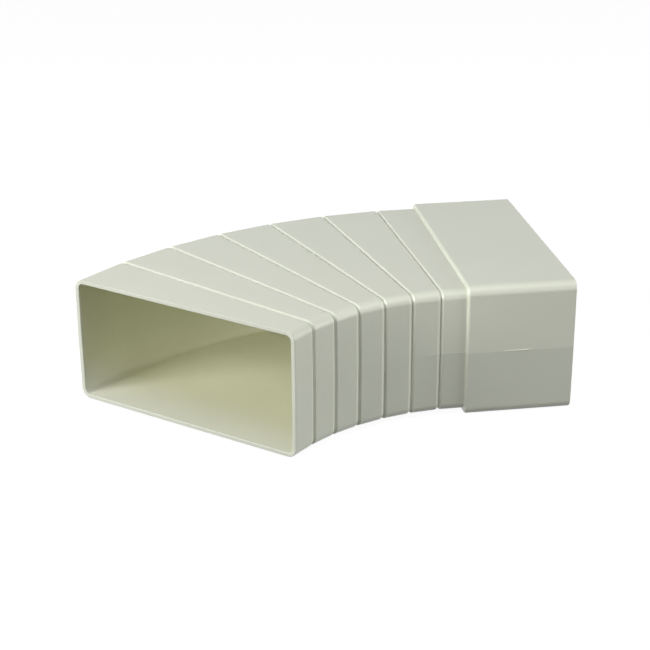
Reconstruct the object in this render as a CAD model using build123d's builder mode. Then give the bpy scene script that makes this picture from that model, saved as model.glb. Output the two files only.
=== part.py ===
from build123d import *
import math
import os

# Flat-duct section, measured outside at mid-height (mm)
duct_width = 110.0
duct_height = 54.0
wall = 1.8
corner_radius = 4.0
# Side walls lean in above and below the mid-height mould line (degrees)
draft_angle = 0.5

# Mitred bend: the grooves are saw guides, and each one turns the duct by the same angle
groove_count = 6
groove_angle = 7.5
# Length of one wedge along the concave side, groove centre to groove centre
inner_pitch = 12.3
# V groove cut half through the wall, and the slope of its flanks (degrees)
groove_depth = 0.9
groove_flank_angle = 45.0
# Last groove centre to the socket shoulder, along the concave side
neck_length = 10.8

# Socket that slips over the end of a duct
socket_length = 45.5
socket_wall = 1.6
socket_clearance = 0.15
socket_corner_radius = 4.0
stop_thickness = 2.0
shoulder_radius = 0.4
mouth_lead_in = 0.8
mouth_radius = 0.4

# Extra length on stock that is trimmed back, and overrun of cutting shapes
trim_allowance = 5.0
cut_overrun = 0.3

socket_growth = socket_wall + socket_clearance
mid_height = duct_height / 2
half_angle = groove_angle / 2
mitre_width = duct_width / math.cos(math.radians(half_angle))
mitre_reach = duct_width * math.tan(math.radians(half_angle)) + trim_allowance
groove_reach = groove_depth / math.tan(math.radians(groove_flank_angle)) + cut_overrun


def heading(angle):
    """Unit vector in plan at an angle from the socket axis."""
    return Vector(math.cos(math.radians(angle)), math.sin(math.radians(angle)), 0)


def wedge_angle(number):
    """Direction of wedge 1 (open end) to wedge groove_count + 1 (neck)."""
    return (groove_count + 1 - number) * groove_angle


# Concave-side points of the open end and of every groove, last groove at the origin
joints = [Vector(0, 0, 0)]
for number in range(groove_count, 0, -1):
    joints.insert(0, joints[0] - heading(wedge_angle(number)) * inner_pitch)


def cross_plane(start, angle):
    """Section plane: local X runs from the concave to the convex side, local Y is up."""
    return Plane(origin=start, x_dir=heading(angle + 90), z_dir=heading(angle))


def mitre_plane(index):
    """Plane of the open end (0) or of a groove, facing the socket."""
    return cross_plane(joints[index], wedge_angle(index) - half_angle)


def outline(width, inset):
    """Corners of the six-sided section, inset from the outside of the duct."""
    lean = (mid_height - inset) * math.tan(math.radians(draft_angle))
    near = inset
    far = width - inset
    low = inset
    high = duct_height - inset
    return [
        (near + lean, low),
        (far - lean, low),
        (far, mid_height),
        (far - lean, high),
        (near + lean, high),
        (near, mid_height),
    ]


def section(plane, width, inset, radius):
    """Section of the duct with rounded corners, drawn on a plane."""
    with BuildSketch(plane) as face:
        with BuildLine():
            Polyline(*outline(width, inset), close=True)
        make_face()
        corners = face.vertices().sort_by(lambda v: abs(v.Y - mid_height))[2:]
        fillet(corners, radius=radius)
    return face.sketch


def wedge(number, inset):
    """One wedge of the bend, trimmed to its two mitre planes."""
    angle = wedge_angle(number)
    start = joints[number - 1] - heading(angle) * mitre_reach
    with BuildPart() as piece:
        profile = section(cross_plane(start, angle), duct_width, inset, corner_radius - inset)
        extrude(profile, amount=inner_pitch + 2 * mitre_reach)
        split(bisect_by=mitre_plane(number - 1), keep=Keep.TOP)
        split(bisect_by=mitre_plane(number), keep=Keep.BOTTOM)
    return piece.part


def neck(inset, length):
    """Straight stub from the last groove into the socket."""
    start = joints[groove_count] - heading(0) * mitre_reach
    with BuildPart() as piece:
        profile = section(cross_plane(start, 0), duct_width, inset, corner_radius - inset)
        extrude(profile, amount=mitre_reach + length)
        split(bisect_by=mitre_plane(groove_count), keep=Keep.TOP)
    return piece.part


def groove_ring(index):
    """Ring with a V inside edge that cuts one groove all round the duct."""
    plane = mitre_plane(index)
    with BuildPart() as ring:
        with BuildSketch(plane):
            with Locations((mitre_width / 2, mid_height)):
                Rectangle(mitre_width + trim_allowance, duct_height + trim_allowance)
        extrude(amount=groove_reach, both=True)
        core = section(plane, mitre_width, groove_depth, corner_radius - groove_depth)
        extrude(core, amount=groove_reach, both=True, taper=-groove_flank_angle, mode=Mode.SUBTRACT)
    return ring.part


socket_plane = cross_plane(Vector(neck_length, 0, 0), 0)
bore_plane = cross_plane(Vector(neck_length + stop_thickness, 0, 0), 0)

with BuildPart() as socket:
    extrude(section(socket_plane, duct_width, -socket_growth, socket_corner_radius), amount=socket_length)
    fillet(socket.faces().sort_by(Axis.X)[0].edges(), radius=shoulder_radius)
    fillet(socket.faces().sort_by(Axis.X)[-1].edges(), radius=mouth_radius)

with BuildPart() as bore:
    bore_section = section(bore_plane, duct_width, -socket_clearance, corner_radius + socket_clearance)
    extrude(bore_section, amount=socket_length - stop_thickness)

with BuildPart() as bend:
    for number in range(1, groove_count + 1):
        add(wedge(number, 0))
    add(neck(0, neck_length + stop_thickness))
    for index in range(1, groove_count + 1):
        add(groove_ring(index), mode=Mode.SUBTRACT)
    add(socket.part)
    add(bore.part, mode=Mode.SUBTRACT)
    for number in range(1, groove_count + 1):
        add(wedge(number, wall), mode=Mode.SUBTRACT)
    add(neck(wall, neck_length + stop_thickness), mode=Mode.SUBTRACT)
    mouth = bend.faces().sort_by(Axis.X)[-1]
    chamfer(mouth.inner_wires()[0].edges(), length=mouth_lead_in)

# Stood on the bottom of the socket, with the origin under the middle of its box
box = bend.part.bounding_box()
with BuildPart() as duct_bend:
    with Locations((-box.center().X, -box.center().Y, -box.min.Z)):
        add(bend.part)

duct_bend.part.label = "duct_bend"
os.makedirs("parts", exist_ok=True)
export_step(duct_bend.part, "parts/duct_bend.step")
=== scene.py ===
import math

import bpy
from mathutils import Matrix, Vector


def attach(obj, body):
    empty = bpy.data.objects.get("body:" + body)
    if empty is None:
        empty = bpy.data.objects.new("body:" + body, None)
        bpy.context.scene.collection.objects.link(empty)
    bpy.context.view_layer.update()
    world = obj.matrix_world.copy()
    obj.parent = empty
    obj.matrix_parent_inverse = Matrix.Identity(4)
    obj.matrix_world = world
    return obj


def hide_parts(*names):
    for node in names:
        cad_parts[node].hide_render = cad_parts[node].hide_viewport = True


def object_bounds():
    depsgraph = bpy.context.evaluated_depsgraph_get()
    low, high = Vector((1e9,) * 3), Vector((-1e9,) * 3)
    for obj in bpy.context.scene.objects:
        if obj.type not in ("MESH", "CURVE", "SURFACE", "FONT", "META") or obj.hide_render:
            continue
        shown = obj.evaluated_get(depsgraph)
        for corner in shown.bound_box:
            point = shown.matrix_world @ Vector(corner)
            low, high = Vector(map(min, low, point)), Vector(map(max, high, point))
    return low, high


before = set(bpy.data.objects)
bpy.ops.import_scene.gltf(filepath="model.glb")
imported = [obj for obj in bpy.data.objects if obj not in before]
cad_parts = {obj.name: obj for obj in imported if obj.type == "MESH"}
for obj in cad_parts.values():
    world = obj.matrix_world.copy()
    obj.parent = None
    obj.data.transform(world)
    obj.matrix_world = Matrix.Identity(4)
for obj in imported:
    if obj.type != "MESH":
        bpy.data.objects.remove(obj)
cad_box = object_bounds()

# Sizes of the bend, in metres and degrees, the same as the solid's
MM = 0.001
DUCT_WIDTH = 110.0 * MM
DUCT_HEIGHT = 54.0 * MM
WALL = 1.8 * MM
CORNER_RADIUS = 4.0 * MM
DRAFT = math.tan(math.radians(0.5))
GROOVES = 6
GROOVE_ANGLE = 7.5
INNER_PITCH = 12.3 * MM
GROOVE_DEPTH = 0.9 * MM
NECK_LENGTH = 10.8 * MM
SOCKET_LENGTH = 45.5 * MM
SOCKET_GROWTH = 1.75 * MM
SOCKET_CLEARANCE = 0.15 * MM
SOCKET_CORNER_RADIUS = 4.0 * MM
STOP_THICKNESS = 2.0 * MM
MOUTH_RADIUS = 0.4 * MM
MOUTH_LEAD_IN = 0.8 * MM

SOCKET_END = NECK_LENGTH + SOCKET_LENGTH
STOP_FACE = NECK_LENGTH + STOP_THICKNESS
HALF_ANGLE = GROOVE_ANGLE / 2
MID_HEIGHT = DUCT_HEIGHT / 2

# Softness of moulded edges, and the flat run kept beside each of them
GROOVE_FAR_LIP_RADIUS = 0.22 * MM
GROOVE_NEAR_LIP_RADIUS = 1.8 * MM
GROOVE_ROOT_RADIUS = 0.18 * MM
RIM_EDGE_RADIUS = 0.2 * MM
RIM_LIP_RADIUS = 0.35 * MM
SHOULDER_ROOT_RADIUS = 0.25 * MM
SHOULDER_EDGE_RADIUS = 1.0 * MM
EDGE_RUN = 1.2 * MM
EDGE_STEPS = 4
CORNER_STEPS = 9
WELD_DISTANCE = 1e-6
CREASE_BAND = 1e-5
FLAT_FACE_WEIGHT = 90

# Painted light on a ring of the wall: above zero a painted highlight, below zero painted shade
GROOVE_LIP_HIGHLIGHT = 1.0
GROOVE_ROOT_SHADE = -0.3
RIM_SHADE = -0.6
RIM_SHADE_DEPTH = EDGE_RUN / 4

# Mould line at mid-height: a bead sunk in the side walls, which stand back from its crest
SEAM_CREST = 0.08 * MM
SEAM_SUNK = 0.3 * MM
SEAM_RADIUS = 0.34 * MM
SEAM_STEP = 0.8 * MM
SEAM_SIDES = 24
SEAM_RIPPLE = 220.0
SEAM_RIPPLE_DETAIL = 2.0
SEAM_UNEVENNESS = 0.4
SEAM_SEED = 7.0
# Where it begins and where it is full, back from the last groove, and how strong it is
SEAM_START = 0.6 * INNER_PITCH
SEAM_FULL = 0.3 * INNER_PITCH
SEAM_START_SHARE = 0.9
SEAM_STRENGTH = {"concave": 1.0, "convex": 0.9}
# Its short stretch on the socket's concave side: share of the socket's length, strength
SOCKET_FLASH = ((0.33, 0.8), (0.36, 1.25), (0.46, 1.25), (0.50, 1.4), (0.57, 1.4), (0.62, 0.8))

# Tones of the plastic, each from its darker to its lighter clouds
OUTSIDE_TONES = ((0.652, 0.676, 0.566), (0.676, 0.700, 0.592))
# The bore's tones are painted light: warm bounce light on its floor, darker and warmer shade on its
# walls, a paler lit floor by the plain end
BORE_FLOOR_BOUNCE_TONES = ((0.735, 0.735, 0.540), (0.760, 0.757, 0.565))
BORE_WALL_SHADE_TONES = ((0.670, 0.680, 0.460), (0.695, 0.703, 0.485))
BORE_END_LIT_TONES = ((0.725, 0.735, 0.630), (0.750, 0.757, 0.655))
CLOUD_BAND = (0.3, 0.7)
CLOUD_NOISE = {"Scale": 28.0, "Detail": 3.0, "Roughness": 0.55}
GRAIN_NOISE = {"Scale": 900.0, "Detail": 2.0}
WAVE_NOISE = {"Scale": 60.0, "Detail": 1.0}
GRAIN_SPECK = (0.985, 1.015)
# Heights between which the bore's painted bounce light on the floor turns into the painted shade of
# its walls
WALL_SHADE_FROM = 6.0 * MM
WALL_SHADE_FULL = 20.0 * MM
# How far in from the plain end the painted pool of light on the bore's floor reaches
END_LIGHT_REACH = 28.0 * MM
LOWER_HALF_SHADE = 0.1
LOWER_HALF_EDGE = 0.3 * MM
# Strengths of painted highlights on the rounded corners and on the mould line's ridge, and of the
# rings' painted highlights and shade
CORNER_HIGHLIGHT_STRENGTH = 0.12
RIDGE_HIGHLIGHT_STRENGTH = 0.08
PAINTED_LIGHT_STRENGTH = 0.16
PLASTIC_IOR = 1.53
ROUGHNESS = (0.28, 0.36)
BORE_ROUGHER = 0.3
WAVE_BUMP = {"Strength": 0.08, "Distance": 1.0 * MM}
GRAIN_BUMP = {"Strength": 0.1, "Distance": 0.1 * MM}

# Studio, in metres, degrees and watts
WHITE = (1.0, 1.0, 1.0, 1.0)
FLOOR_REACH = 4.0
FLOOR_DROP = 0.2 * MM
FLOOR_COLOUR = (0.13, 0.13, 0.13, 1.0)
FLOOR_LIFT = 0.94
ROOM_FILL = 0.08
LAMP_AIM = Vector((0.0, 0.0, 0.03))
# Softboxes: azimuth, elevation, distance, width and height, power
SOFTBOXES = {
    "left softbox": (202.0, 24.0, 0.8, (0.45, 0.38), 6.5),
    "right softbox": (338.0, 15.0, 1.5, (0.6, 0.7), 6.5),
    "upper right softbox": (340.0, 50.0, 1.5, (0.6, 0.5), 3.7),
    "front overhead softbox": (284.0, 63.0, 0.75, (0.35, 0.25), 0.85),
    "front low softbox": (294.0, 12.0, 1.5, (0.6, 0.3), 1.0),
    "mouth side softbox": (5.0, 10.0, 1.2, (0.8, 0.4), 2.0),
    "back softbox": (135.0, 12.0, 1.5, (0.8, 0.5), 2.5),
}
CAMERA_SENSOR = 36.0
CAMERA_LENS = 85.583
CAMERA_FROM_LAST_GROOVE = Vector((-134.16, -568.18, 285.03)) * MM
CAMERA_TURN = (67.1732, 0.2897, -8.7339)

# The last groove's concave-side point, on the underside of the body, in the frame's axes
LAST_GROOVE = Vector((
    cad_box[1].x - SOCKET_END,
    cad_box[1].y - DUCT_WIDTH - SOCKET_GROWTH,
    SOCKET_GROWTH,
))


def heading(angle):
    """The level direction at an angle from the socket's axis."""
    return Vector((math.cos(math.radians(angle)), math.sin(math.radians(angle)), 0.0))


def wedge_angle(number):
    """A wedge's heading, numbered from the plain end; past the last groove it is zero."""
    return (GROOVES + 1 - number) * GROOVE_ANGLE


# Concave-side points of the plain end and of every groove, from the plain end on
groove_points = [LAST_GROOVE]
for wedge in range(GROOVES, 0, -1):
    groove_points.insert(0, groove_points[0] - heading(wedge_angle(wedge)) * INNER_PITCH)


def mitre_ring(groove, along, inset, wear=0.0):
    """A ring parallel to a groove's plane, on its socket side where along is positive."""
    wedge = groove + 1 if along >= 0 else groove
    origin = groove_points[groove] + heading(wedge_angle(wedge)) * along
    across = heading(wedge_angle(groove) - HALF_ANGLE + 90) / math.cos(math.radians(HALF_ANGLE))
    return origin, across, inset, CORNER_RADIUS - inset, wear


def square_ring(along, inset, corner=CORNER_RADIUS):
    """A ring square to the socket's axis, its section's corner radius given at no inset."""
    return LAST_GROOVE + heading(0) * along, heading(90), inset, corner - inset, 0.0


def rounded(corners):
    """Points (along, inset) of a run whose corners (along, inset, radius) are rounded."""
    points = []
    for i, (along, inset, radius) in enumerate(corners):
        here = Vector((along, inset))
        if radius == 0 or i in (0, len(corners) - 1):
            points.append((along, inset))
            continue
        back = (Vector(corners[i - 1][:2]) - here).normalized()
        on = (Vector(corners[i + 1][:2]) - here).normalized()
        half = back.angle(on) / 2
        centre = here + (back + on).normalized() * (radius / math.sin(half))
        start = here + back * (radius / math.tan(half)) - centre
        end = here + on * (radius / math.tan(half)) - centre
        for step in range(EDGE_STEPS + 1):
            point = centre + start.lerp(end, step / EDGE_STEPS).normalized() * radius
            points.append((point.x, point.y))
    return points


def plain_end_rings():
    """The plain end's rim, from its inner lip to the outside."""
    run = [
        (EDGE_RUN, WALL, 0),
        (0.0, WALL, RIM_LIP_RADIUS),
        (0.0, 0.0, RIM_EDGE_RADIUS),
        (EDGE_RUN, 0.0, 0),
    ]
    # The rim's face and its rounded edges get painted shade
    return [
        mitre_ring(0, along, inset, RIM_SHADE if along < RIM_SHADE_DEPTH else 0.0)
        for along, inset in rounded(run)[1:]
    ]


def groove_rings(groove):
    """One V groove, with a soft near lip toward the plain end and a crisp far lip."""
    run = [
        (-GROOVE_DEPTH - EDGE_RUN, 0.0, 0),
        (-GROOVE_DEPTH, 0.0, GROOVE_NEAR_LIP_RADIUS),
        (0.0, GROOVE_DEPTH, GROOVE_ROOT_RADIUS),
        (GROOVE_DEPTH, 0.0, GROOVE_FAR_LIP_RADIUS),
        (GROOVE_DEPTH + EDGE_RUN, 0.0, 0),
    ]
    # The near lip's arc has a painted highlight from its second point on, and the root's arc
    # painted shade
    arc = EDGE_STEPS + 1
    wear = {step: GROOVE_LIP_HIGHLIGHT for step in range(2, arc + 1)}
    wear.update({step: GROOVE_ROOT_SHADE for step in range(arc + 1, 2 * arc + 1)})
    return [
        mitre_ring(groove, along, inset, wear.get(step, 0.0))
        for step, (along, inset) in enumerate(rounded(run))
    ]


def socket_outside_rings():
    """From the neck over the shoulder and along the socket to its mouth and lead-in."""
    shoulder = [
        (NECK_LENGTH - EDGE_RUN, 0.0, 0),
        (NECK_LENGTH, 0.0, SHOULDER_ROOT_RADIUS),
        (NECK_LENGTH, -SOCKET_GROWTH, 0),
    ]
    rings = [square_ring(along, inset) for along, inset in rounded(shoulder)[:-1]]
    socket = [
        (NECK_LENGTH, 0.0, 0),
        (NECK_LENGTH, -SOCKET_GROWTH, SHOULDER_EDGE_RADIUS),
        (NECK_LENGTH + 2 * EDGE_RUN, -SOCKET_GROWTH, 0),
        (SOCKET_END - EDGE_RUN, -SOCKET_GROWTH, 0),
        (SOCKET_END, -SOCKET_GROWTH, MOUTH_RADIUS),
        (SOCKET_END, 0.0, 0),
    ]
    corner = SOCKET_CORNER_RADIUS - SOCKET_GROWTH
    rings += [square_ring(along, inset, corner) for along, inset in rounded(socket)[1:-1]]
    lead_in = [
        (SOCKET_END, -SOCKET_GROWTH, 0),
        (SOCKET_END, -SOCKET_CLEARANCE - MOUTH_LEAD_IN, RIM_EDGE_RADIUS / 2),
        (SOCKET_END - MOUTH_LEAD_IN, -SOCKET_CLEARANCE, RIM_EDGE_RADIUS),
        (SOCKET_END - MOUTH_LEAD_IN - EDGE_RUN, -SOCKET_CLEARANCE, 0),
    ]
    return rings + [square_ring(along, inset) for along, inset in rounded(lead_in)[1:]]


def bore_rings():
    """From inside the mouth over the stop ledge and round the bend to the plain end."""
    socket = [
        (SOCKET_END - MOUTH_LEAD_IN - 2 * EDGE_RUN, -SOCKET_CLEARANCE, 0),
        (STOP_FACE + EDGE_RUN, -SOCKET_CLEARANCE, 0),
        (STOP_FACE, -SOCKET_CLEARANCE, RIM_EDGE_RADIUS),
        (STOP_FACE, WALL, RIM_EDGE_RADIUS),
        (STOP_FACE - EDGE_RUN, WALL, 0),
    ]
    rings = [square_ring(along, inset) for along, inset in rounded(socket)]
    for groove in range(GROOVES, 0, -1):
        for along in (EDGE_RUN / 2, 0.0, -EDGE_RUN / 2):
            rings.append(mitre_ring(groove, along, WALL))
    return rings + [mitre_ring(0, EDGE_RUN, WALL)]


def duct_rings():
    """Every ring of the wall: out along the outside to the mouth, back along the bore.

    Each ring is its origin, direction across, inset, corner radius, its painted light (a painted
    highlight above zero, painted shade below zero) and whether it lies inside."""
    outside = plain_end_rings()
    for groove in range(1, GROOVES + 1):
        outside += groove_rings(groove)
    outside += socket_outside_rings()
    return [(*ring, 0.0) for ring in outside] + [(*ring, 1.0) for ring in bore_rings()]


def path_mesh(name, points, edges, **attributes):
    """A mesh of points and edges with one named value, or vector, at each point."""
    mesh = bpy.data.meshes.new(name)
    mesh.from_pydata(points, edges, [])
    for key, values in attributes.items():
        vector = isinstance(values[0], Vector)
        layer = mesh.attributes.new(key, "FLOAT_VECTOR" if vector else "FLOAT", "POINT")
        for item, value in zip(layer.data, values):
            if vector:
                item.vector = value
            else:
                item.value = value
    return mesh


class NodeTree:
    """Adds nodes to a tree, with values and links given for the inputs by name or number."""

    # A mix node's own sockets for colours, among those of its other types
    MIX_COLOUR_INPUTS = (0, 6, 7)
    MIX_COLOUR_OUTPUT = 2

    def __init__(self, tree):
        self.tree = tree

    def add(self, kind, inputs=None, **settings):
        node = self.tree.nodes.new(kind)
        for key, value in settings.items():
            setattr(node, key, value)
        for key, value in (inputs or {}).items():
            if isinstance(value, bpy.types.NodeSocket):
                self.tree.links.new(value, node.inputs[key])
            else:
                node.inputs[key].default_value = value
        return node

    def math(self, operation, *values):
        return self.add("ShaderNodeMath", dict(enumerate(values)), operation=operation).outputs[0]

    def vector(self, operation, *values):
        inputs = dict(enumerate(values))
        return self.add("ShaderNodeVectorMath", inputs, operation=operation).outputs[0]

    def scaled(self, vector, factor):
        inputs = {0: vector, "Scale": factor}
        return self.add("ShaderNodeVectorMath", inputs, operation="SCALE").outputs[0]

    def along(self, vector, direction):
        inputs = {0: vector, 1: direction}
        return self.add("ShaderNodeVectorMath", inputs, operation="DOT_PRODUCT").outputs["Value"]

    def pack(self, x, y, z):
        return self.add("ShaderNodeCombineXYZ", {0: x, 1: y, 2: z}).outputs[0]

    def split(self, vector):
        return self.add("ShaderNodeSeparateXYZ", {0: vector}).outputs

    def span(self, value, low, high, start=0.0, end=1.0):
        """Takes a value between low and high to one between start and end."""
        inputs = {"Value": value, "From Min": low, "From Max": high, "To Min": start, "To Max": end}
        return self.add("ShaderNodeMapRange", inputs).outputs[0]

    def noise(self, spot, look):
        return self.add("ShaderNodeTexNoise", {"Vector": spot, **look}).outputs[0]

    def mottled(self, cloud, tones):
        """A colour that drifts between two tones with the clouds."""
        ramp = self.add("ShaderNodeValToRGB", {"Fac": cloud})
        for element, position, tone in zip(ramp.color_ramp.elements, CLOUD_BAND, tones):
            element.position = position
            element.color = (*tone, 1.0)
        return ramp.outputs[0]

    def blend(self, share, first, second):
        inputs = dict(zip(self.MIX_COLOUR_INPUTS, (share, first, second)))
        node = self.add("ShaderNodeMix", inputs, data_type="RGBA")
        return node.outputs[self.MIX_COLOUR_OUTPUT]

    def painted(self, name):
        """A value that a piece's mesh carries, for its material."""
        return self.add("ShaderNodeAttribute", attribute_name=name).outputs["Fac"]

    def seen(self):
        """One for rays from the camera, a reflection or glass, and nothing for other rays."""
        path = self.add("ShaderNodeLightPath").outputs
        indirect = self.math("MAXIMUM", path["Is Glossy Ray"], path["Is Transmission Ray"])
        return self.math("MAXIMUM", path["Is Camera Ray"], indirect)

    def attribute(self, name, data_type):
        inputs = {"Name": name}
        return self.add("GeometryNodeInputNamedAttribute", inputs, data_type=data_type).outputs[0]

    def store(self, geometry, name, value):
        node = self.add(
            "GeometryNodeStoreNamedAttribute",
            {"Geometry": geometry, "Name": name, "Value": value},
            data_type="FLOAT",
            domain="POINT",
        )
        return node.outputs[0]

    def sample(self, geometry, field, index, data_type):
        node = self.add(
            "GeometryNodeSampleIndex",
            {"Geometry": geometry, "Value": field, "Index": index},
            data_type=data_type,
            domain="POINT",
        )
        return node.outputs[0]

    def count(self, geometry):
        return self.add("GeometryNodeAttributeDomainSize", {"Geometry": geometry}).outputs[0]

    def place(self, geometry, position):
        inputs = {"Geometry": geometry, "Position": position}
        return self.add("GeometryNodeSetPosition", inputs).outputs[0]

    def smooth(self, geometry, smooth, domain):
        inputs = {"Geometry": geometry, "Shade Smooth": smooth}
        return self.add("GeometryNodeSetShadeSmooth", inputs, domain=domain).outputs[0]


def shape_tree(name, sizes):
    """A geometry tree with the named sizes and a material as inputs."""
    tree = bpy.data.node_groups.new(name, "GeometryNodeTree")
    tree.interface.new_socket("Path", in_out="INPUT", socket_type="NodeSocketGeometry")
    for label, value in sizes.items():
        kind = "NodeSocketInt" if isinstance(value, int) else "NodeSocketFloat"
        tree.interface.new_socket(label, in_out="INPUT", socket_type=kind)
    tree.interface.new_socket("Material", in_out="INPUT", socket_type="NodeSocketMaterial")
    tree.interface.new_socket("Shape", in_out="OUTPUT", socket_type="NodeSocketGeometry")
    nodes = NodeTree(tree)
    return nodes, nodes.add("NodeGroupInput").outputs


def close_tree(nodes, geometry, material):
    """Ends a shape tree: copies made real, then the material."""
    realized = nodes.add("GeometryNodeRealizeInstances", {"Geometry": geometry}).outputs[0]
    inputs = {"Geometry": realized, "Material": material}
    finished = nodes.add("GeometryNodeSetMaterial", inputs).outputs[0]
    nodes.add("NodeGroupOutput", {"Shape": finished})


def duct_section(nodes, given, breadth):
    """The duct's rounded section as a loop, with side walls that lean in from mid-height."""
    rectangle = nodes.add(
        "GeometryNodeCurvePrimitiveQuadrilateral",
        {"Width": breadth, "Height": given["Duct Height"]},
    ).outputs[0]
    halved = nodes.add("GeometryNodeSubdivideCurve", {"Curve": rectangle, "Cuts": 1}).outputs[0]
    x, y, _ = nodes.split(nodes.add("GeometryNodeInputPosition").outputs[0])
    lean = nodes.math("MULTIPLY", nodes.math("ABSOLUTE", y), given["Draft"])
    lean = nodes.math("MULTIPLY", lean, nodes.math("SIGN", x))
    leaning = nodes.place(halved, nodes.pack(nodes.math("SUBTRACT", x, lean), y, 0.0))
    # Every other point is a corner, the rest lie halfway along the sides
    index = nodes.add("GeometryNodeInputIndex").outputs[0]
    at_corner = nodes.math("SUBTRACT", 1.0, nodes.math("MODULO", index, 2.0))
    filleted = nodes.add(
        "GeometryNodeFilletCurve",
        {
            "Curve": leaning,
            "Count": given["Corner Steps"],
            "Radius": nodes.math("MULTIPLY", given["Corner Radius"], at_corner),
        },
        mode="POLY",
    ).outputs[0]
    return nodes.add("GeometryNodeCurveToMesh", {"Curve": filleted}).outputs[0]


def wall_loft_tree(sizes):
    """Lofts the rounded duct section through every ring, inset by each ring's own amount."""
    nodes, given = shape_tree("duct wall loft", sizes)
    path, radius = given["Path"], given["Corner Radius"]
    half_width = nodes.math("DIVIDE", given["Duct Width"], 2.0)
    half_height = nodes.math("DIVIDE", given["Duct Height"], 2.0)
    set_back = nodes.math("MULTIPLY", given["Seam Crest"], 2.0)
    breadth = nodes.math("SUBTRACT", given["Duct Width"], set_back)
    section = duct_section(nodes, given, breadth)

    # One grid point for each section point on each ring, with both seams doubled
    ring_count, side_count = nodes.count(path), nodes.count(section)
    columns = nodes.math("ADD", side_count, 1.0)
    grid = nodes.add(
        "GeometryNodeMeshGrid",
        {"Vertices X": nodes.math("ADD", ring_count, 1.0), "Vertices Y": columns},
    ).outputs[0]
    index = nodes.add("GeometryNodeInputIndex").outputs[0]
    row = nodes.math("DIVIDE", nodes.math("ADD", index, 0.5), columns)
    ring = nodes.math("MODULO", nodes.math("FLOOR", row), ring_count)
    side = nodes.math("MODULO", nodes.math("MODULO", index, columns), side_count)

    def of_ring(name, data_type="FLOAT"):
        return nodes.sample(path, nodes.attribute(name, data_type), ring, data_type)

    spot = nodes.add("GeometryNodeInputPosition").outputs[0]
    origin = nodes.sample(path, spot, ring, "FLOAT_VECTOR")
    point = nodes.sample(section, spot, side, "FLOAT_VECTOR")
    inside = of_ring("inside")

    # The section's own outward direction: away from its square-cornered core
    core = nodes.pack(
        nodes.math("SUBTRACT", nodes.math("DIVIDE", breadth, 2.0), radius),
        nodes.math("SUBTRACT", half_height, radius),
        0.0,
    )
    opposite = nodes.vector("SUBTRACT", (0.0, 0.0, 0.0), core)
    nearest = nodes.vector("MAXIMUM", nodes.vector("MINIMUM", point, core), opposite)
    outward = nodes.vector("NORMALIZE", nodes.vector("SUBTRACT", point, nearest))

    # Each ring keeps its own corner radius: the corner arcs shrink to it and slide along the walls
    tighter = nodes.math("SUBTRACT", radius, of_ring("corner"))
    shrunk = nodes.vector("SUBTRACT", point, nodes.scaled(outward, tighter))
    x, y, _ = nodes.split(nodes.vector("DIVIDE", nearest, core))
    slid = nodes.math("SUBTRACT", tighter, of_ring("inset"))
    slide = nodes.pack(nodes.math("MULTIPLY", x, slid), nodes.math("MULTIPLY", y, slid), 0.0)
    x, y, _ = nodes.split(nodes.vector("ADD", shrunk, slide))
    reach = nodes.math("ADD", x, half_width)
    rise = nodes.pack(0.0, 0.0, nodes.math("ADD", y, half_height))
    sideways = nodes.scaled(of_ring("across", "FLOAT_VECTOR"), reach)
    lofted_spot = nodes.vector("ADD", nodes.vector("ADD", origin, sideways), rise)

    # How far each point lies round an outside corner, from nothing on the flat walls: the strength
    # of a painted highlight on the rounded corners
    x, y, _ = nodes.split(nodes.vector("ABSOLUTE", outward))
    turned = nodes.math("SQRT", nodes.math("MULTIPLY", nodes.math("MULTIPLY", x, y), 2.0))
    corner_highlight = nodes.math("MULTIPLY", turned, nodes.math("SUBTRACT", 1.0, inside))
    # The mesh carries painted light for the material: each ring's painted highlights and shade, and
    # the corners' painted highlight
    kept = nodes.store(grid, "inside", inside)
    kept = nodes.store(kept, "wear", of_ring("wear"))
    kept = nodes.store(kept, "corner_highlight", corner_highlight)
    lofted = nodes.place(kept, lofted_spot)
    inputs = {"Geometry": lofted, "Distance": WELD_DISTANCE}
    welded = nodes.add("GeometryNodeMergeByDistance", inputs).outputs[0]
    welded = nodes.add("GeometryNodeFlipFaces", {"Mesh": welded}).outputs[0]

    # Smooth all over but for the crease at mid-height
    _, _, up = nodes.split(spot)
    middle = nodes.math("ADD", half_height, given["Base Height"])
    off_middle = nodes.math("ABSOLUTE", nodes.math("SUBTRACT", up, middle))
    off_crease = nodes.math("GREATER_THAN", off_middle, CREASE_BAND)
    soft = nodes.smooth(welded, True, "FACE")
    close_tree(nodes, nodes.smooth(soft, off_crease, "EDGE"), given["Material"])
    return nodes.tree


def seam_tree(sizes):
    """A thin, uneven ridge along each seam path, mostly sunk in the wall."""
    nodes, given = shape_tree("mould line ridge", sizes)
    line = nodes.add("GeometryNodeMeshToCurve", {"Mesh": given["Path"]}).outputs[0]
    inputs = {"Curve": line, "Length": given["Step"]}
    fine = nodes.add("GeometryNodeResampleCurve", inputs, mode="LENGTH").outputs[0]
    ripple = nodes.add(
        "ShaderNodeTexNoise",
        {"Scale": given["Ripple"], "W": given["Seed"], "Detail": SEAM_RIPPLE_DETAIL},
        noise_dimensions="4D",
    ).outputs[0]
    least = nodes.math("SUBTRACT", 1.0, nodes.math("DIVIDE", given["Unevenness"], 2.0))
    uneven = nodes.math("ADD", nodes.math("MULTIPLY", ripple, given["Unevenness"]), least)
    swell = nodes.math("MULTIPLY", nodes.attribute("flash", "FLOAT"), uneven)
    inputs = {"Resolution": given["Sides"], "Radius": 1.0}
    bead = nodes.add("GeometryNodeCurvePrimitiveCircle", inputs).outputs[0]
    ridge = nodes.add(
        "GeometryNodeCurveToMesh",
        {
            "Curve": fine,
            "Profile Curve": bead,
            "Scale": nodes.math("MULTIPLY", swell, given["Seam Radius"]),
            "Fill Caps": True,
        },
    ).outputs[0]
    close_tree(nodes, nodes.smooth(ridge, True, "FACE"), given["Material"])
    return nodes.tree


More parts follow.
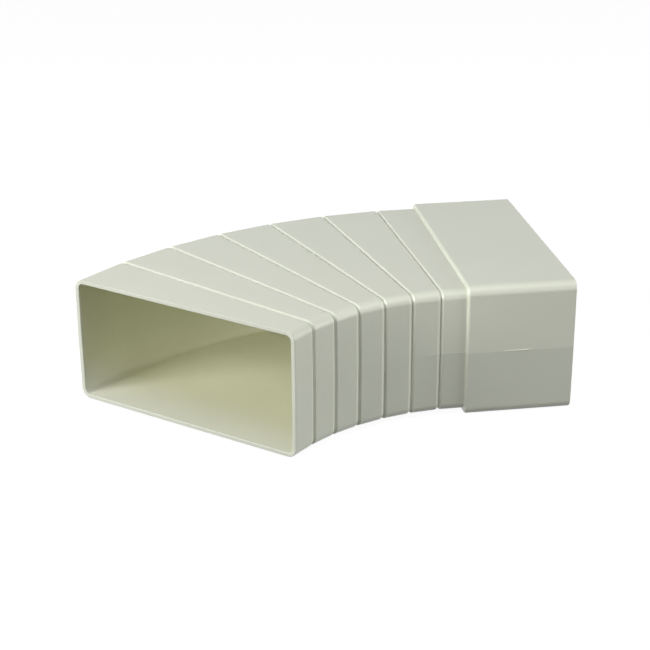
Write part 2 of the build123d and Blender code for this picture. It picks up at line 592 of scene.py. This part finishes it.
def grown_piece(name, path, tree, sizes, material, even_normals):
    """Runs a shape tree on a path and keeps the result as a plain mesh object."""
    source = bpy.data.objects.new(name + " path", path)
    bpy.context.scene.collection.objects.link(source)
    modifier = source.modifiers.new("shape", "NODES")
    modifier.node_group = tree
    values = dict(sizes, Material=material)
    for item in tree.interface.items_tree:
        if item.in_out == "INPUT" and item.name in values:
            modifier[item.identifier] = values[item.name]
    if even_normals:
        even = source.modifiers.new("flat faces stay flat", "WEIGHTED_NORMAL")
        even.keep_sharp = True
        even.weight = FLAT_FACE_WEIGHT
    grown = source.evaluated_get(bpy.context.evaluated_depsgraph_get())
    mesh = bpy.data.meshes.new_from_object(grown)
    source.modifiers.clear()
    bpy.data.objects.remove(source)
    mesh.name = name
    piece = bpy.data.objects.new(name, mesh)
    bpy.context.scene.collection.objects.link(piece)
    return piece


def bore_painted_light(nodes, spot, cloud):
    """Painted light in the bore: warm bounce light on its floor, warmer and duller shade on its
    walls, and a paler pool of light on its floor by the plain end.
    """
    _, _, z = nodes.split(spot)
    climb = nodes.span(z, WALL_SHADE_FROM, WALL_SHADE_FULL)
    end_heading = heading(wedge_angle(1) + HALF_ANGLE)
    depth = nodes.along(nodes.vector("SUBTRACT", spot, groove_points[0]), end_heading)
    near = nodes.span(depth, 0.0, END_LIGHT_REACH, 1.0, 0.0)
    near = nodes.math("MULTIPLY", near, nodes.math("SUBTRACT", 1.0, climb))
    floor_bounce_tone = nodes.mottled(cloud, BORE_FLOOR_BOUNCE_TONES)
    wall_shade_tone = nodes.mottled(cloud, BORE_WALL_SHADE_TONES)
    end_lit_tone = nodes.mottled(cloud, BORE_END_LIT_TONES)
    return nodes.blend(near, nodes.blend(climb, floor_bounce_tone, wall_shade_tone), end_lit_tone)


def tone_level(nodes, spot, inside, grain):
    """What the tone is multiplied by: specks, the darker lower half, painted highlights and shade
    at edges.
    """
    x, _, z = nodes.split(spot)
    # Below mid-height the colour darkens along the sixth wedge, and stays so to the mouth
    middle = MID_HEIGHT + SOCKET_GROWTH
    below = nodes.span(z, middle, middle - LOWER_HALF_EDGE)
    onward = nodes.span(x, groove_points[GROOVES - 1].x, LAST_GROOVE.x)
    outside = nodes.math("SUBTRACT", 1.0, inside)
    shaded = nodes.math("MULTIPLY", nodes.math("MULTIPLY", below, onward), outside)
    shade = nodes.math("SUBTRACT", 1.0, nodes.math("MULTIPLY", shaded, LOWER_HALF_SHADE))
    level = nodes.math("MULTIPLY", nodes.span(grain, 0.0, 1.0, *GRAIN_SPECK), shade)
    # Painted highlights on corners, groove lips and the mould line's ridge, painted shade in groove
    # roots and on the rim
    paler = nodes.math(
        "ADD",
        nodes.math("MULTIPLY", nodes.painted("corner_highlight"), CORNER_HIGHLIGHT_STRENGTH),
        nodes.math("MULTIPLY", nodes.painted("flash"), RIDGE_HIGHLIGHT_STRENGTH),
    )
    paler = nodes.math("ADD", paler, nodes.math("MULTIPLY", nodes.painted("wear"), PAINTED_LIGHT_STRENGTH))
    return nodes.math("MULTIPLY", level, nodes.math("ADD", paler, 1.0))


def ivory_plastic():
    """Satin ivory rigid plastic: matt in the bore, with painted bounce light and shade there,
    faintly clouded, grained and waved.
    """
    material = bpy.data.materials.new("ivory_plastic")
    material.use_nodes = True
    tree = material.node_tree
    nodes = NodeTree(tree)
    shader = tree.nodes["Principled BSDF"]
    shader.inputs["IOR"].default_value = PLASTIC_IOR
    spot = nodes.add("ShaderNodeTexCoord").outputs["Object"]
    inside = nodes.painted("inside")
    cloud = nodes.noise(spot, CLOUD_NOISE)
    grain = nodes.noise(spot, GRAIN_NOISE)

    outer = nodes.mottled(cloud, OUTSIDE_TONES)
    # In the bore the tone is painted bounce light and shade
    tone = nodes.blend(inside, outer, bore_painted_light(nodes, spot, cloud))
    coloured = nodes.scaled(tone, tone_level(nodes, spot, inside, grain))
    tree.links.new(coloured, shader.inputs["Base Color"])

    satin = nodes.span(cloud, 0.0, 1.0, *ROUGHNESS)
    matt = nodes.math("ADD", satin, nodes.math("MULTIPLY", inside, BORE_ROUGHER))
    tree.links.new(matt, shader.inputs["Roughness"])

    wave = nodes.noise(spot, WAVE_NOISE)
    broad = nodes.add("ShaderNodeBump", {"Height": wave, **WAVE_BUMP}).outputs[0]
    fine = nodes.add("ShaderNodeBump", {"Height": grain, "Normal": broad, **GRAIN_BUMP}).outputs[0]
    tree.links.new(fine, shader.inputs["Normal"])
    return material


def seam_paths():
    """Mid-height lines with the ridge's strength at each point.

    Both sides have them on the sixth wedge and the neck. The socket has one all along its convex
    side, and a short stretch of stronger flash on its concave side."""
    # Each point's flash strength sets the ridge's size and also its painted highlight
    points, edges, flash = [], [], []

    def run(side, stops):
        first = len(points)
        for ring, strength in stops:
            origin, across, inset, *_ = ring
            deep = inset + SEAM_CREST + SEAM_SUNK
            reach = deep if side == "concave" else DUCT_WIDTH - deep
            points.append(origin + across * reach + Vector((0.0, 0.0, MID_HEIGHT)))
            flash.append(strength)
        edges.extend((i, i + 1) for i in range(first, len(points) - 1))

    def on_socket(along):
        return square_ring(along, -SOCKET_GROWTH)

    for side, strength in SEAM_STRENGTH.items():
        run(side, [
            (mitre_ring(GROOVES, -SEAM_START, 0.0), SEAM_START_SHARE * strength),
            (mitre_ring(GROOVES, -SEAM_FULL, 0.0), strength),
            (mitre_ring(GROOVES, -GROOVE_DEPTH, 0.0), strength),
        ])
        run(side, [
            (mitre_ring(GROOVES, GROOVE_DEPTH, 0.0), strength),
            (square_ring(NECK_LENGTH, 0.0), strength),
        ])
    run("convex", [
        (on_socket(NECK_LENGTH + SHOULDER_EDGE_RADIUS), SEAM_STRENGTH["convex"]),
        (on_socket(SOCKET_END - MOUTH_RADIUS), SEAM_STRENGTH["convex"]),
    ])
    run("concave", [
        (on_socket(NECK_LENGTH + share * SOCKET_LENGTH), strength)
        for share, strength in SOCKET_FLASH
    ])
    return path_mesh("mould line path", points, edges, flash=flash)


plastic = ivory_plastic()

origins, across, insets, corners, wear, inside = zip(*duct_rings())
wall_path = path_mesh(
    "duct wall path",
    origins,
    [],
    across=across,
    inset=insets,
    corner=corners,
    wear=wear,
    inside=inside,
)
wall_sizes = {
    "Duct Width": DUCT_WIDTH,
    "Duct Height": DUCT_HEIGHT,
    "Corner Radius": CORNER_RADIUS,
    "Draft": DRAFT,
    "Seam Crest": SEAM_CREST,
    "Base Height": SOCKET_GROWTH,
    "Corner Steps": CORNER_STEPS,
}
wall_tree = wall_loft_tree(wall_sizes)
duct_wall = grown_piece("duct_wall", wall_path, wall_tree, wall_sizes, plastic, True)
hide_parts("duct_bend")
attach(duct_wall, "root")

seam_sizes = {
    "Seam Radius": SEAM_RADIUS,
    "Step": SEAM_STEP,
    "Sides": SEAM_SIDES,
    "Ripple": SEAM_RIPPLE,
    "Unevenness": SEAM_UNEVENNESS,
    "Seed": SEAM_SEED,
}
ridge_tree = seam_tree(seam_sizes)
mould_line = grown_piece("mould_line", seam_paths(), ridge_tree, seam_sizes, plastic, False)
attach(mould_line, "root")


def white_floor():
    """A white sheet that stays white to the camera outside the object's shadow."""
    material = bpy.data.materials.new("white_floor")
    material.use_nodes = True
    tree = material.node_tree
    nodes = NodeTree(tree)
    tree.nodes.remove(tree.nodes["Principled BSDF"])
    sheet = nodes.add("ShaderNodeBsdfDiffuse", {"Color": FLOOR_COLOUR}).outputs[0]
    lift = nodes.math("MULTIPLY", nodes.seen(), FLOOR_LIFT)
    glow = nodes.add("ShaderNodeEmission", {"Color": WHITE, "Strength": lift}).outputs[0]
    both = nodes.add("ShaderNodeAddShader", {0: sheet, 1: glow}).outputs[0]
    tree.links.new(both, tree.nodes["Material Output"].inputs["Surface"])
    return material


def lay_floor():
    """The floor under the part, which isn't part of it."""
    mesh = bpy.data.meshes.new("floor")
    signs = ((-1, -1), (1, -1), (1, 1), (-1, 1))
    corners = [(x * FLOOR_REACH, y * FLOOR_REACH, 0.0) for x, y in signs]
    mesh.from_pydata(corners, [], [(0, 1, 2, 3)])
    mesh.materials.append(white_floor())
    floor = bpy.data.objects.new("floor", mesh)
    floor.location.z = -FLOOR_DROP
    bpy.context.scene.collection.objects.link(floor)


def hang_softbox(name, azimuth, elevation, distance, size, power):
    """A soft lamp that faces the middle of the part."""
    lamp = bpy.data.lights.new(name, "AREA")
    lamp.shape = "RECTANGLE"
    lamp.size, lamp.size_y = size
    lamp.energy = power
    holder = bpy.data.objects.new(name, lamp)
    out = heading(azimuth) * math.cos(math.radians(elevation))
    out.z = math.sin(math.radians(elevation))
    holder.location = out * distance + LAMP_AIM
    holder.rotation_euler = out.to_track_quat("Z", "Y").to_euler()
    bpy.context.scene.collection.objects.link(holder)


def white_room():
    """A world that is white where it is seen, and only a faint fill light on the object."""
    world = bpy.data.worlds.new("white room")
    bpy.context.scene.world = world
    world.use_nodes = True
    nodes = NodeTree(world.node_tree)
    strength = nodes.span(nodes.seen(), 0.0, 1.0, ROOM_FILL, 1.0)
    background = world.node_tree.nodes["Background"]
    background.inputs["Color"].default_value = WHITE
    world.node_tree.links.new(strength, background.inputs["Strength"])


def set_camera():
    """The camera at the photograph's viewing angle."""
    lens = bpy.data.cameras.new("camera")
    lens.sensor_width = CAMERA_SENSOR
    lens.lens = CAMERA_LENS
    camera = bpy.data.objects.new("camera", lens)
    camera.location = LAST_GROOVE + CAMERA_FROM_LAST_GROOVE
    camera.rotation_euler = [math.radians(angle) for angle in CAMERA_TURN]
    bpy.context.scene.collection.objects.link(camera)
    bpy.context.scene.camera = camera
    bpy.context.scene.view_settings.view_transform = "Standard"


lay_floor()
for softbox, setting in SOFTBOXES.items():
    hang_softbox(softbox, *setting)
white_room()
set_camera()
